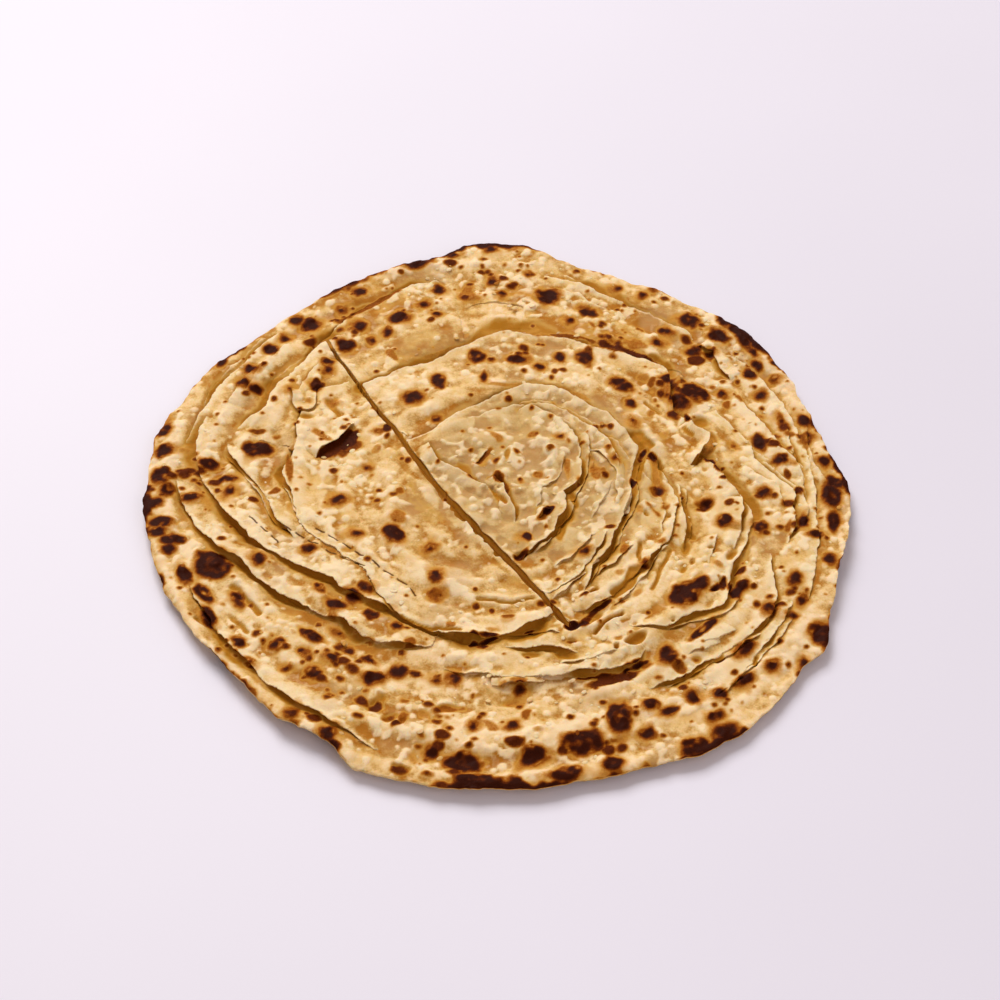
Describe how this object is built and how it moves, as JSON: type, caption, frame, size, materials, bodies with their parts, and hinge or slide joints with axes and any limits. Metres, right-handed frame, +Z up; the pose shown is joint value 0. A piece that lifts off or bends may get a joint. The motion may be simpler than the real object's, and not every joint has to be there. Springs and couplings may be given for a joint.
{
  "type": "paratha",
  "caption": "Round layered griddle bread with spiral flaky leaves, charred spots and a straight knife cut across the middle.",
  "frame": {"origin": "centre of the bounding box, on the flat underside", "axes": "+Z up out of the browned upper side; +Y to the far side of the bread as pictured, with the cut running from the back left to the front right"},
  "size_m": [0.2016, 0.2128, 0.0094],
  "materials": {
    "bread": "browned flaky dough, slightly oily"
  },
  "bodies": {
    "root": {"paratha": "bread"}
  },
  "joints": []
}
